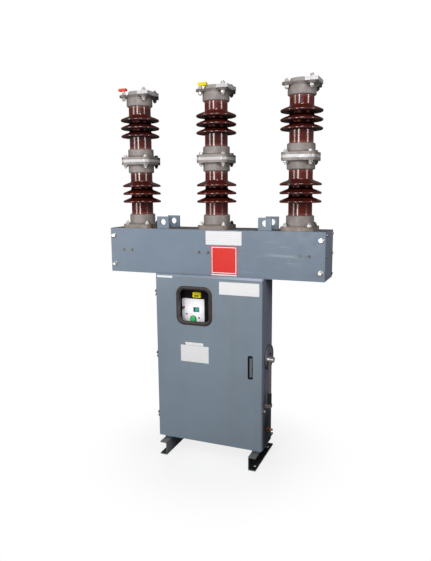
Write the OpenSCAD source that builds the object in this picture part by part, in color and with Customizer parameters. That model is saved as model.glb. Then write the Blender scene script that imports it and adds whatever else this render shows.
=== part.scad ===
// Outdoor three-pole vacuum circuit breaker: a sheet steel mechanism cabinet on channel feet,
// a box beam across its top and three porcelain poles. Millimetres, Z up, front towards -Y,
// origin on the ground in the middle of the foundation bolts.

/* [Feet] */
// Length of each channel foot, front to back
foot_len = 332; // [260:1:400]
// Height of the channel section
foot_h = 75; // [60:1:100]
// Width of the channel flanges
foot_w = 40; // [36:1:50]
// Thickness of the channel web
foot_web = 5; // [4:0.5:7]
// Thickness of the channel flanges
foot_flange = 7; // [5:0.5:9]
// Web's inboard face, in from the cabinet's side
foot_inset = 62; // [50:1:90]
// Foundation bolt hole
foundation_hole = 18; // [14:1:20]
// Foundation hole line, from the web's inboard face
foundation_gauge = 23; // [21:0.5:24]
// Foundation hole spacing along a foot
foundation_pitch = 240; // [180:5:250]

/* [Cabinet] */
// Width over the side walls
cabinet_w = 600; // [580:1:640]
// Height of the cabinet on its feet
cabinet_h = 915; // [880:1:960]
// Depth of the cabinet behind the door
cabinet_depth = 148; // [140:1:160]
// Rear face behind the foundation centre
cabinet_back = 46; // [38:1:52]
// Height of the bearers between feet and cabinet
bearer_h = 20; // [12:1:24]
// Thickness of the cabinet sheet
sheet = 3; // [2:0.5:4]
// Width of the turned-in rim around the door opening
rim = 24; // [18:1:30]

/* [Door] */
// Depth of the door pan
door_depth = 25; // [25:1:30]
// Thickness of the door sheet
door_sheet = 2.5; // [2:0.5:3]
// Bend radius on the outside of the door's upright edges
door_bend = 5; // [4:0.5:6]
// Gap between the door pan and the cabinet rim
door_gap = 5; // [5:0.5:8]
// Height of the door's lower edge above the feet
door_rise = 2; // [0:1:8]
// Lap of the door over the beam's lower edge
door_top_lap = 7; // [4:1:9]

/* [Window] */
// Window centre, to the side of the door's centre line
window_x = -76; // [-100:1:-60]
// Window centre below the door's upper edge
window_drop = 164; // [140:1:180]
// Width of the sight opening
window_w = 166; // [150:1:180]
// Height of the sight opening
window_h = 170; // [150:1:180]
// Corner radius of the sight opening
window_r = 24; // [15:1:30]
// Width of the rubber surround
gasket_w = 20; // [18:1:22]
// How far the rubber stands proud of the door
gasket_proud = 6; // [4:0.5:8]
// Depth of the rubber behind the door sheet
gasket_behind = 8; // [7:0.5:9]
// Thickness of the glass
glass_t = 4; // [3:0.5:5]
// How far the glass reaches into the rubber
glass_bite = 5; // [4:0.5:6]

/* [Handle] */
// Handle centre, in from the door's right edge
handle_inset = 63; // [58:1:80]
// Handle's middle below the door's middle
handle_drop = 7; // [0:1:20]
// Width of the handle slot
slot_w = 28; // [28:1:32]
// Height of the handle slot
slot_h = 127; // [127:1:134]
// Corner radius of the handle slot
slot_r = 9; // [6:1:11]
// Wall of the handle cup
cup_wall = 2; // [2:0.5:3]
// Depth of the cup behind the door sheet
cup_depth = 21; // [20:0.5:22]
// Width of the handle lever
lever_w = 18; // [14:1:18]
// Height of the handle lever
lever_h = 114; // [108:1:114]
// Thickness of the handle lever
lever_t = 10; // [9:0.5:10]
// Pivot below the lever's upper end
pivot_drop = 9; // [8:0.5:10]
// Diameter of the pivot pin
pivot_d = 5; // [4:0.5:5]

/* [Hinges] */
// Height step between the three hinges
hinge_pitch = 348; // [320:1:360]
// Middle hinge above the middle of the door
hinge_rise = 4; // [0:1:20]
// Outside diameter of a knuckle
knuckle_d = 14; // [13:1:15]
// Height of a knuckle
knuckle_h = 18; // [16:1:24]
// Diameter of the hinge pin
pin_d = 7; // [6:0.5:8]
// Radial clearance of pins in their bores
pin_clear = 0.05; // [0.03:0.01:0.08]
// Thickness of the hinge leaves
leaf_t = 2.5; // [2:0.5:3]
// Length of a hinge leaf from the hinge line
leaf_len = 22; // [18:1:24]

/* [Mechanism] */
// Width of the mechanism housing
housing_w = 250; // [220:1:280]
// Height of the mechanism housing
housing_h = 280; // [260:1:300]
// Front plate behind the door's face
facia_setback = 62; // [58:1:70]
// Width of the front plate
facia_w = 131; // [110:1:150]
// Height of the front plate
facia_h = 150; // [130:1:170]
// Thickness of the front plate
facia_t = 3; // [2:0.5:4]
// Diameter of the closing button
button_d = 30; // [24:1:34]
// How far the button stands out
button_out = 9; // [7:0.5:12]
// Depth of the button's stem behind the front plate
button_in = 10; // [8:1:14]
// Travel room behind the button
button_travel = 5; // [4:0.5:8]

/* [Side fittings] */
// Diameter of the charging shaft's collar
hub_d = 130; // [122:1:134]
// Bore of the collar
hub_bore = 46; // [40:1:60]
// Depth of the collar
hub_t = 14; // [12:1:16]
// Diameter of the charging shaft
shaft_d = 16; // [12:1:20]
// Reach of the charging shaft
shaft_len = 24; // [20:1:30]
// Height of the charging shaft above the ground
shaft_z = 588; // [560:1:640]
// Shaft behind the cabinet's front edge
shaft_y = 72; // [70:1:76]
// Diameter of the stowed crank's socket
socket_d = 29; // [26:1:30]
// Length of the crank's socket
socket_len = 35; // [30:1:40]
// Diameter of the crank's arm
arm_d = 14; // [12:1:16]
// Length of the crank's arm
arm_len = 183; // [160:1:210]
// Diameter of the crank's grip
grip_d = 22; // [20:1:26]
// Length of the crank's grip
grip_len = 60; // [50:1:80]
// Crank's arm out from the collar's face
crank_off = 13; // [11:0.5:16]
// Crank behind the cabinet's front edge
crank_back = 22; // [21:1:24]
// Height of the earth studs above the ground
earth_z = 183; // [150:1:220]
// Diameter of an earth stud
earth_d = 12; // [10:1:16]

/* [Beam] */
// Width of the beam
beam_w = 1200; // [1150:5:1300]
// Height of the beam
beam_h = 243; // [220:1:260]
// Depth of the beam
beam_depth = 200; // [190:1:220]
// Thickness of the beam's plates
beam_sheet = 4; // [3:0.5:6]
// Thickness of the beam's covers
cover_t = 3; // [2:0.5:4]
// Pole line behind the foundation centre
pole_y = 13; // [8:1:18]
// Lifting lug width
lug_w = 70; // [60:1:80]
// Lifting lug height
lug_h = 64; // [56:1:72]
// Lifting lug thickness
lug_t = 10; // [8:1:12]
// Lifting hole diameter
lug_hole = 33; // [28:1:36]
// Lifting hole height above the beam
lug_hole_z = 35; // [30:1:38]
// Lifting lugs from the machine's centre
lug_x = 287; // [260:1:300]
// Lifting lugs from the pole line
lug_y = 66; // [60:1:70]

/* [Poles] */
// Distance between neighbouring poles
phase_pitch = 450; // [440:1:480]
// Side of the square flanges
flange_w = 171; // [168:1:176]
// Corner radius of the flanges
flange_r = 30; // [26:1:34]
// Thickness of the flanges
flange_t = 13; // [11:0.5:16]
// Thickness of the base casting's flange
base_flange_t = 20; // [16:0.5:24]
// Side of the square of flange bolts
bolt_square = 123; // [118:1:126]
// Diameter of the casting necks
neck_d = 140; // [136:1:146]
// Rounding of the casting necks
neck_r = 7; // [5:0.5:9]
// Cone between flange and neck
neck_fillet = 8; // [5:0.5:10]
// Height of the base casting
base_h = 75; // [66:1:86]
// Height of a joint casting
joint_h = 57; // [50:1:65]
// Height of a porcelain
porcelain_h = 224; // [215:1:240]
// Diameter of the porcelain core
core_d = 114; // [108:1:120]
// Bore through porcelains and castings
bore_d = 80; // [70:1:86]
// Diameter of the sheds
shed_d = 209; // [200:1:216]
// Rounding of the shed rim
shed_rim = 4; // [3:0.5:5]
// Slope of the upper side of a shed, degrees
shed_top = 25; // [20:1:28]
// Slope of the under side of a shed, degrees
shed_under = 5; // [3:1:8]
// Height of the lowest shed rim above the porcelain's end
shed_first = 66; // [60:1:70]
// Step from shed to shed
shed_pitch = 42.5; // [40:0.5:44]
// Sheds on each porcelain
shed_count = 3; // [3:1:3]

/* [Terminals] */
// Thickness of the lower terminal plate
plate_t = 14; // [12:1:16]
// Width of the lower terminal's tongue
tongue_w = 80; // [74:1:90]
// Reach of the tongue behind the pole line
tongue_y = 140; // [136:1:142]
// Spacing of the tongue's holes
tongue_pitch = 44; // [40:1:46]
// Terminal bolt hole
terminal_hole = 14; // [12:0.5:14]
// Height of the top cap up to its ears
cap_h = 57; // [52:1:66]
// Radius of a cap ear
ear_r = 22; // [20:1:24]
// Thickness of the ears
ear_t = 12; // [10:1:14]
// Diameter of the cap's raised boss at its foot
boss_d = 136; // [130:1:140]
// Diameter of the cap's raised boss at its top
boss_top_d = 114; // [104:1:120]
// Height of the raised boss
boss_h = 22; // [18:1:26]
// Width of the upper terminal bar
bar_w = 62; // [58:1:66]
// Thickness of the upper terminal bar
bar_t = 17; // [15:1:20]
// Reach of the upper terminal bar in front of the pole line
bar_reach = 78; // [74:1:86]
// Centre of the bar's round rear end behind the pole line
bar_round_y = 42; // [38:1:50]

/* [Hidden] */
foot_x = cabinet_w / 2 - foot_inset;
cabinet_low = foot_h + bearer_h;
beam_z = cabinet_low + cabinet_h;
beam_top = beam_z + beam_h;
beam_front = pole_y - beam_depth / 2;
beam_back = pole_y + beam_depth / 2;
cabinet_front = cabinet_back - cabinet_depth;
door_back = cabinet_front - door_gap;
door_front = door_back - door_depth;
door_low = cabinet_low + door_rise;
door_high = beam_z + door_top_lap;
door_h = door_high - door_low;
door_mid = (door_low + door_high) / 2;
window_z = door_high - window_drop;
gasket_front = door_front - gasket_proud;
gasket_back = door_front + door_sheet + gasket_behind;
glass_front = door_front + door_sheet;
handle_x = cabinet_w / 2 - handle_inset;
handle_z = door_mid - handle_drop;
lever_front = door_front + 1;
pivot_y = lever_front + lever_t / 2;
pivot_z = handle_z + lever_h / 2 - pivot_drop;
hinge_x = -cabinet_w / 2 - knuckle_d / 2 - 1;
hinge_y = cabinet_front - door_gap / 2;
hinge_z = door_mid + hinge_rise;
facia_front = door_front + facia_setback;
facia_back = facia_front + facia_t;
facia_x = window_x - 33;
facia_high = window_z + 26;
housing_x = window_x + 12;
housing_high = window_z + 104;
button_z = window_z - 86;
wall_back = cabinet_back - sheet;
side_x = cabinet_w / 2;
hub_y = cabinet_front + shaft_y;
crank_x = side_x + hub_t + crank_off;
crank_y = cabinet_front + crank_back;
crank_z = shaft_z + 2;
grip_z = crank_z - arm_len - grip_len;
foundation_x = foot_x + foundation_gauge;
lower_z = beam_top + base_h;
joint_z = lower_z + porcelain_h;
plate_z = joint_z + joint_h;
upper_joint_z = plate_z + plate_t;
upper_z = upper_joint_z + joint_h;
cap_z = upper_z + porcelain_h;
ear_z = cap_z + cap_h;
bolt_at = bolt_square / 2;
bar_x = bolt_at - bar_w / 2;
$fn = 96;

// Rectangle with round corners about its own centre
module round_rect(w, h, r) {
  square([w - 2 * r, h], center = true);
  square([w, h - 2 * r], center = true);
  for (sx = [-1, 1], sz = [-1, 1])
    translate([sx * (w / 2 - r), sz * (h / 2 - r)])
      circle(r);
}

// Upright slab drawn as seen from the front, from y_back forwards
module front_slab(x, z, y_back, t) {
  translate([x, y_back, z])
    rotate([90, 0, 0])
      linear_extrude(t)
        children();
}

// Box from its lowest to its highest corner
module block(low, high) {
  translate(low)
    cube(high - low);
}

// Rolled channel with its web inboard and its flanges outwards
module foot(side) {
  color([0.45, 0.48, 0.52])
    mirror([side < 0 ? 1 : 0, 0, 0])
      difference() {
        translate([foot_x, foot_len / 2, 0])
          rotate([90, 0, 0])
            linear_extrude(foot_len)
              difference() {
                square([foot_w, foot_h]);
                translate([foot_web + foot_w / 2, foot_h / 2])
                  round_rect(foot_w, foot_h - 2 * foot_flange, 6);
                translate([foot_w / 2, foot_flange])
                  square([foot_w, foot_h - 2 * foot_flange]);
              }
        for (sy = [-1, 1])
          translate([foundation_x, sy * foundation_pitch / 2, -1])
            cylinder(d = foundation_hole, h = foot_flange + 2);
      }
}

module left_foot() {
  foot(-1);
}

module right_foot() {
  foot(1);
}

// Bottom plate with its front edge turned up, on a bearer strip along each foot
module cabinet_floor() {
  color([0.48, 0.54, 0.58]) {
    block([-side_x, cabinet_front, cabinet_low], [side_x, cabinet_back, cabinet_low + sheet]);
    block([-side_x + sheet, cabinet_front, cabinet_low], [side_x - sheet, cabinet_front + sheet, cabinet_low + rim]);
    for (s = [0, 1])
      mirror([s, 0, 0])
        block([foot_x, cabinet_front, foot_h], [foot_x + foot_w, cabinet_back, cabinet_low + sheet / 2]);
  }
}

// Side wall with its front edge turned inwards
module side_wall(side) {
  color([0.48, 0.54, 0.58])
    mirror([side < 0 ? 1 : 0, 0, 0]) {
      block([side_x - sheet, cabinet_front, cabinet_low + sheet], [side_x, wall_back, beam_z - sheet]);
      block([side_x - rim, cabinet_front, cabinet_low + rim], [side_x, cabinet_front + sheet, beam_z - rim]);
    }
}

module cabinet_left_wall() {
  side_wall(-1);
}

module cabinet_right_wall() {
  side_wall(1);
}

// Flat back sheet behind the side walls
module cabinet_back_wall() {
  color([0.48, 0.54, 0.58])
    block([-side_x, wall_back, cabinet_low + sheet], [side_x, cabinet_back, beam_z - sheet]);
}

// Top plate under the beam with its front edge turned down
module cabinet_roof() {
  color([0.48, 0.54, 0.58]) {
    block([-side_x, cabinet_front, beam_z - sheet], [side_x, cabinet_back, beam_z]);
    block([-side_x + sheet, cabinet_front, beam_z - rim], [side_x - sheet, cabinet_front + sheet, beam_z]);
  }
}

// Closed spring mechanism on the back wall, with a pocket for the button's stem
module mechanism_housing() {
  color([0.05, 0.05, 0.06])
    difference() {
      block([housing_x - housing_w / 2, facia_back, housing_high - housing_h],
            [housing_x + housing_w / 2, wall_back, housing_high]);
      front_slab(facia_x, button_z, facia_back + button_in + button_travel, button_in + button_travel + 1)
        circle(d = button_d + 4);
    }
}

// White front plate with the button's guide hole
module mechanism_facia() {
  color([0.9, 0.9, 0.9])
    front_slab(facia_x, facia_high - facia_h / 2, facia_back, facia_t)
      difference() {
        round_rect(facia_w, facia_h, 3);
        translate([0, button_z - facia_high + facia_h / 2])
          circle(d = button_d + 2 * pin_clear);
      }
}

// Green closing button with its round stem
module close_button() {
  color([0.1, 0.55, 0.2])
    translate([facia_x, facia_back + button_in, button_z])
      rotate([90, 0, 0])
        rotate_extrude() {
          square([button_d / 2, button_in + facia_t + button_out - 2]);
          square([button_d / 2 - 2, button_in + facia_t + button_out]);
          translate([button_d / 2 - 2, button_in + facia_t + button_out - 2])
            circle(2);
        }
}

// Fixed lower knuckles, each with its leaf on the side wall and its pin standing up
module hinge_pins() {
  color([0.4, 0.42, 0.45])
    for (i = [-1, 0, 1]) {
      translate([hinge_x, hinge_y, hinge_z + i * hinge_pitch]) {
        translate([0, 0, -knuckle_h - 0.3])
          cylinder(d = knuckle_d, h = knuckle_h);
        translate([0, 0, -2])
          cylinder(d = pin_d, h = knuckle_h + 4);
      }
      block([-side_x - leaf_t, hinge_y, hinge_z + i * hinge_pitch - knuckle_h - 0.3],
            [-side_x, hinge_y + leaf_len, hinge_z + i * hinge_pitch - 0.3]);
    }
}

// Round collar on the right wall around the charging shaft
module charging_collar() {
  color([0.12, 0.12, 0.13])
    translate([side_x, hub_y, shaft_z])
      rotate([0, 90, 0])
        rotate_extrude() {
          translate([hub_bore / 2, 0])
            square([(hub_d - hub_bore) / 2, hub_t - 4]);
          translate([hub_bore / 2, 0])
            square([(hub_d - hub_bore) / 2 - 4, hub_t]);
          translate([hub_d / 2 - 4, hub_t - 4])
            circle(4);
        }
}

// Bright shaft end inside the collar, squared for the crank
module charging_shaft() {
  color([0.8, 0.8, 0.82])
    translate([side_x, hub_y, shaft_z])
      rotate([0, 90, 0]) {
        cylinder(d = shaft_d + 14, h = 8);
        cylinder(d = shaft_d, h = shaft_len * 0.6);
        translate([-shaft_d * 0.35, -shaft_d * 0.35, 0])
          cube([shaft_d * 0.7, shaft_d * 0.7, shaft_len]);
      }
}

// Stowed crank: bright socket against the collar, the arm hanging from it and a rest under its grip
module charging_crank() {
  color([0.78, 0.78, 0.8]) {
    translate([side_x + hub_t, crank_y, crank_z])
      rotate([0, 90, 0])
        cylinder(d = socket_d, h = socket_len);
    translate([crank_x, crank_y, crank_z - arm_len])
      cylinder(d = arm_d, h = arm_len);
    block([side_x, crank_y - grip_d / 2, grip_z - 18], [crank_x + grip_d / 2, crank_y + grip_d / 2, grip_z]);
  }
}

// Dark grip at the lower end of the crank's arm
module crank_grip() {
  color([0.1, 0.1, 0.1])
    translate([crank_x, crank_y, grip_z])
      rotate_extrude() {
        translate([0, 3])
          square([grip_d / 2, grip_len - 6]);
        square([grip_d / 2 - 3, grip_len]);
        for (dz = [3, grip_len - 3])
          translate([grip_d / 2 - 3, dz])
            circle(3);
      }
}

// Brass earth stud on a pad on each side wall
module earth_terminals() {
  color([0.72, 0.55, 0.3])
    for (s = [-1, 1])
      translate([s * side_x, hub_y, earth_z])
        rotate([0, s * 90, 0]) {
          cylinder(d = earth_d * 2.4, h = 5);
          cylinder(d = earth_d, h = 30);
          translate([0, 0, 5])
            cylinder(d = earth_d * 1.9, h = earth_d * 0.8, $fn = 6);
        }
}

// Folded beam body: top, back and bottom in one sheet
module beam_channel() {
  color([0.48, 0.54, 0.58])
    translate([-beam_w / 2 + cover_t, 0, 0])
      rotate([90, 0, 90])
        linear_extrude(beam_w - 2 * cover_t)
          difference() {
            translate([beam_front + cover_t, beam_z])
              square([beam_depth - cover_t, beam_h]);
            translate([beam_front, beam_z + beam_sheet])
              square([beam_depth - beam_sheet, beam_h - 2 * beam_sheet]);
          }
}

// Removable front cover of the beam
module beam_front_cover() {
  color([0.48, 0.54, 0.58])
    block([-beam_w / 2, beam_front, beam_z], [beam_w / 2, beam_front + cover_t, beam_top]);
}

// Bolted end cover
module beam_end(side) {
  color([0.48, 0.54, 0.58])
    mirror([side < 0 ? 1 : 0, 0, 0])
      block([beam_w / 2 - cover_t, beam_front + cover_t, beam_z], [beam_w / 2, beam_back, beam_top]);
}

module beam_left_end() {
  beam_end(-1);
}

module beam_right_end() {
  beam_end(1);
}

// Two pairs of lifting lugs welded on the beam's top
module lifting_lugs() {
  color([0.48, 0.54, 0.58])
    for (sx = [-1, 1], sy = [-1, 1])
      front_slab(sx * lug_x, beam_top, pole_y + sy * lug_y + lug_t / 2, lug_t)
        difference() {
          translate([-lug_w / 2, 0])
            square([lug_w, lug_h]);
          translate([0, lug_hole_z])
            circle(d = lug_hole);
        }
}

// Cast flange and neck with its flange at the bottom
module casting(h, t) {
  difference() {
    union() {
      linear_extrude(t)
        round_rect(flange_w, flange_w, flange_r);
      rotate_extrude() {
        square([neck_d / 2, h - neck_r]);
        square([neck_d / 2 - neck_r, h]);
        translate([neck_d / 2 - neck_r, h - neck_r])
          circle(neck_r);
        polygon([[0, t], [neck_d / 2 + neck_fillet, t], [neck_d / 2, t + neck_fillet], [0, t + neck_fillet]]);
      }
    }
    translate([0, 0, -1])
      cylinder(d = bore_d, h = h + 2);
  }
}

// Outline of one shed from its under side round the rim to its upper side
function shed_points(z) = concat(
  [[core_d / 2, z + (shed_d - core_d) / 2 * tan(shed_under) - shed_rim]],
  [for (k = [0 : 5])
    let (a = shed_under - 90 + k * (180 - shed_under - shed_top) / 5)
    [shed_d / 2 - shed_rim + shed_rim * cos(a), z + shed_rim * sin(a)]],
  [[core_d / 2, z + (shed_d - core_d) / 2 * tan(shed_top) + shed_rim * 0.4]]
);

// Hollow brown porcelain with sloping sheds
module porcelain() {
  rotate_extrude()
    polygon(concat(
      [[bore_d / 2, 0], [core_d / 2, 0]],
      [for (i = [0 : shed_count - 1]) each shed_points(shed_first + i * shed_pitch)],
      [[core_d / 2, porcelain_h], [bore_d / 2, porcelain_h]]
    ));
}

// Base casting on the beam
module pole_base(p) {
  color([0.58, 0.56, 0.54])
    translate([p * phase_pitch, pole_y, beam_top])
      casting(base_h, base_flange_t);
}

module pole_lower_porcelain(p) {
  color([0.25, 0.08, 0.06])
    translate([p * phase_pitch, pole_y, lower_z])
      porcelain();
}

// Flanged castings below and above the lower terminal
module pole_joint_castings(p) {
  color([0.58, 0.56, 0.54])
    translate([p * phase_pitch, pole_y, 0]) {
      translate([0, 0, plate_z])
        mirror([0, 0, 1])
          casting(joint_h, flange_t);
      translate([0, 0, upper_joint_z])
        casting(joint_h, flange_t);
    }
}

// Flat terminal plate clamped between the castings, with a drilled tongue to the rear
module pole_lower_terminal(p) {
  color([0.85, 0.85, 0.87])
    translate([p * phase_pitch, pole_y, plate_z])
      linear_extrude(plate_t)
        difference() {
          union() {
            round_rect(flange_w, flange_w, flange_r);
            translate([-tongue_w / 2, 0])
              square([tongue_w, tongue_y]);
          }
          for (s = [-1, 1])
            translate([s * tongue_pitch / 2, (flange_w / 2 + tongue_y) / 2])
              circle(d = terminal_hole);
        }
}

module pole_upper_porcelain(p) {
  color([0.25, 0.08, 0.06])
    translate([p * phase_pitch, pole_y, upper_z])
      porcelain();
}

// Top cap: round neck, four ears and a raised boss with a flat beside the terminal bar
module pole_cap(p) {
  color([0.58, 0.56, 0.54])
    translate([p * phase_pitch, pole_y, cap_z]) {
      difference() {
        union() {
          rotate_extrude() {
            translate([0, neck_r])
              square([neck_d / 2, cap_h - neck_r]);
            square([neck_d / 2 - neck_r, cap_h]);
            translate([neck_d / 2 - neck_r, neck_r])
              circle(neck_r);
          }
          translate([0, 0, cap_h - ear_t])
            linear_extrude(ear_t)
              for (a = [45 : 90 : 315])
                rotate(a) {
                  translate([0, -ear_r])
                    square([bolt_at * sqrt(2), 2 * ear_r]);
                  translate([bolt_at * sqrt(2), 0])
                    circle(ear_r);
                }
        }
        translate([0, 0, -1])
          cylinder(d = bore_d, h = cap_h - ear_t);
      }
      translate([0, 0, cap_h])
        intersection() {
          cylinder(d1 = boss_d, d2 = boss_top_d, h = boss_h);
          block([-boss_d, -boss_d, 0], [bar_x, boss_d, boss_h]);
        }
    }
}

// Bright terminal bar on the two right-hand ears
module pole_upper_terminal(p) {
  color([0.88, 0.88, 0.9])
    translate([p * phase_pitch + bar_x, pole_y, ear_z])
      linear_extrude(bar_t)
        difference() {
          union() {
            translate([0, -bar_reach])
              square([bar_w, bar_reach + bar_round_y]);
            translate([bar_w / 2, bar_round_y])
              circle(d = bar_w);
          }
          for (s = [-1, 1])
            translate([bar_w / 2, s * tongue_pitch / 2])
              circle(d = terminal_hole);
        }
}

module left_base() {
  pole_base(-1);
}

module left_lower_porcelain() {
  pole_lower_porcelain(-1);
}

module left_joint_castings() {
  pole_joint_castings(-1);
}

module left_lower_terminal() {
  pole_lower_terminal(-1);
}

module left_upper_porcelain() {
  pole_upper_porcelain(-1);
}

module left_cap() {
  pole_cap(-1);
}

module left_upper_terminal() {
  pole_upper_terminal(-1);
}

module centre_base() {
  pole_base(0);
}

module centre_lower_porcelain() {
  pole_lower_porcelain(0);
}

module centre_joint_castings() {
  pole_joint_castings(0);
}

module centre_lower_terminal() {
  pole_lower_terminal(0);
}

module centre_upper_porcelain() {
  pole_upper_porcelain(0);
}

module centre_cap() {
  pole_cap(0);
}

module centre_upper_terminal() {
  pole_upper_terminal(0);
}

module right_base() {
  pole_base(1);
}

module right_lower_porcelain() {
  pole_lower_porcelain(1);
}

module right_joint_castings() {
  pole_joint_castings(1);
}

module right_lower_terminal() {
  pole_lower_terminal(1);
}

module right_upper_porcelain() {
  pole_upper_porcelain(1);
}

module right_cap() {
  pole_cap(1);
}

module right_upper_terminal() {
  pole_upper_terminal(1);
}

// Folded door pan with its window and handle cut-outs
module door_panel() {
  color([0.48, 0.54, 0.58])
    difference() {
      union() {
        translate([0, 0, door_low])
          linear_extrude(door_h)
            difference() {
              union() {
                translate([-side_x, door_front + door_bend])
                  square([cabinet_w, door_depth - door_bend]);
                translate([-side_x + door_bend, door_front])
                  square([cabinet_w - 2 * door_bend, door_depth]);
                for (s = [-1, 1])
                  translate([s * (side_x - door_bend), door_front + door_bend])
                    circle(door_bend);
              }
              translate([-side_x + door_sheet, door_front + door_sheet])
                square([cabinet_w - 2 * door_sheet, door_depth]);
            }
        block([-side_x + door_sheet, door_front + door_sheet, door_low],
              [side_x - door_sheet, door_back, door_low + door_sheet]);
        block([-side_x + door_sheet, door_front + door_sheet, door_high - door_sheet],
              [side_x - door_sheet, door_back, door_high]);
      }
      front_slab(window_x, window_z, door_front + door_depth / 2, door_depth)
        round_rect(window_w + gasket_w, window_h + gasket_w, window_r + gasket_w / 2);
      front_slab(handle_x, handle_z, door_front + door_depth / 2, door_depth)
        round_rect(slot_w, slot_h, slot_r);
    }
}

// Rubber surround gripping the door's edge outside and the glass inside
module window_gasket() {
  color([0.1, 0.09, 0.09])
    difference() {
      front_slab(window_x, window_z, gasket_back, gasket_back - gasket_front)
        round_rect(window_w + 2 * gasket_w, window_h + 2 * gasket_w, window_r + gasket_w);
      front_slab(window_x, window_z, gasket_back + 1, gasket_back - gasket_front + 2)
        round_rect(window_w, window_h, window_r);
      front_slab(window_x, window_z, glass_front + glass_t, glass_t)
        round_rect(window_w + 2 * glass_bite, window_h + 2 * glass_bite, window_r + glass_bite);
      front_slab(window_x, window_z, door_front + door_sheet, door_sheet)
        difference() {
          square([window_w + 3 * gasket_w, window_h + 3 * gasket_w], center = true);
          round_rect(window_w + gasket_w, window_h + gasket_w, window_r + gasket_w / 2);
        }
    }
}

// Clear pane in the rubber's inner groove
module window_glass() {
  color([0.8, 0.85, 0.88, 0.3])
    front_slab(window_x, window_z, glass_front + glass_t, glass_t)
      round_rect(window_w + 2 * glass_bite, window_h + 2 * glass_bite, window_r + glass_bite);
}

// Pressed cup behind the handle slot, with the lever's pivot pin across it
module handle_cup() {
  color([0.12, 0.12, 0.13]) {
    difference() {
      front_slab(handle_x, handle_z, door_front + door_sheet + cup_depth, cup_depth)
        round_rect(slot_w + 2 * cup_wall, slot_h + 2 * cup_wall, slot_r + cup_wall);
      front_slab(handle_x, handle_z, door_front + door_sheet + cup_depth - cup_wall, cup_depth)
        round_rect(slot_w, slot_h, slot_r);
    }
    translate([handle_x - slot_w / 2 - cup_wall / 2, pivot_y, pivot_z])
      rotate([0, 90, 0])
        cylinder(d = pivot_d, h = slot_w + cup_wall);
  }
}

// Upper knuckles with their leaves on the door's edge
module hinge_knuckles() {
  color([0.4, 0.42, 0.45])
    for (i = [-1, 0, 1])
      difference() {
        union() {
          translate([hinge_x, hinge_y, hinge_z + i * hinge_pitch])
            cylinder(d = knuckle_d, h = knuckle_h);
          block([-side_x - leaf_t, hinge_y - leaf_len, hinge_z + i * hinge_pitch],
                [-side_x, hinge_y, hinge_z + i * hinge_pitch + knuckle_h]);
        }
        translate([hinge_x, hinge_y, hinge_z + i * hinge_pitch - 1])
          cylinder(d = pin_d + 2 * pin_clear, h = knuckle_h + 2);
      }
}

// Pull lever lying in the cup, turning on the pin near its upper end
module handle_lever() {
  color([0.5, 0.53, 0.56])
    difference() {
      front_slab(handle_x, handle_z, lever_front + lever_t, lever_t)
        round_rect(lever_w, lever_h, 5);
      translate([handle_x - lever_w, pivot_y, pivot_z])
        rotate([0, 90, 0])
          cylinder(d = pivot_d + 2 * pin_clear, h = 2 * lever_w);
    }
}

left_foot();
right_foot();
cabinet_floor();
cabinet_left_wall();
cabinet_right_wall();
cabinet_back_wall();
cabinet_roof();
mechanism_housing();
mechanism_facia();
close_button();
hinge_pins();
charging_collar();
charging_shaft();
charging_crank();
crank_grip();
earth_terminals();
beam_channel();
beam_front_cover();
beam_left_end();
beam_right_end();
lifting_lugs();
left_base();
left_lower_porcelain();
left_joint_castings();
left_lower_terminal();
left_upper_porcelain();
left_cap();
left_upper_terminal();
centre_base();
centre_lower_porcelain();
centre_joint_castings();
centre_lower_terminal();
centre_upper_porcelain();
centre_cap();
centre_upper_terminal();
right_base();
right_lower_porcelain();
right_joint_castings();
right_lower_terminal();
right_upper_porcelain();
right_cap();
right_upper_terminal();
door_panel();
window_gasket();
window_glass();
handle_cup();
hinge_knuckles();
handle_lever();
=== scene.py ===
import math

import bmesh
import bpy
from mathutils import Matrix, Vector


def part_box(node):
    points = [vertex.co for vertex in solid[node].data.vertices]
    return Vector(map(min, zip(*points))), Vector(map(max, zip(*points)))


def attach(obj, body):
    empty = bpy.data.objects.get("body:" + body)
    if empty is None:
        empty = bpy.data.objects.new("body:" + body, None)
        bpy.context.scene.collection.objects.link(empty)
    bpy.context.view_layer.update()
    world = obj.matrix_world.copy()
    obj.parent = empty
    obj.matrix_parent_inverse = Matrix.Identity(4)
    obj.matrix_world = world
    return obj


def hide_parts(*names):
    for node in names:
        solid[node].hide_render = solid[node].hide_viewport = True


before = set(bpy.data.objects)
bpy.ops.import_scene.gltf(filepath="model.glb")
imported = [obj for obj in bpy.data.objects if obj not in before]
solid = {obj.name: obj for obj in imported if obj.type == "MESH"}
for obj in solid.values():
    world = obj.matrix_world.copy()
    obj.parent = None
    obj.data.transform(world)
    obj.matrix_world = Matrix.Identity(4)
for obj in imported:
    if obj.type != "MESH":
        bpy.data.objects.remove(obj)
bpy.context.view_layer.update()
scene = bpy.context.scene
scene.view_settings.view_transform = "Standard"


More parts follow.
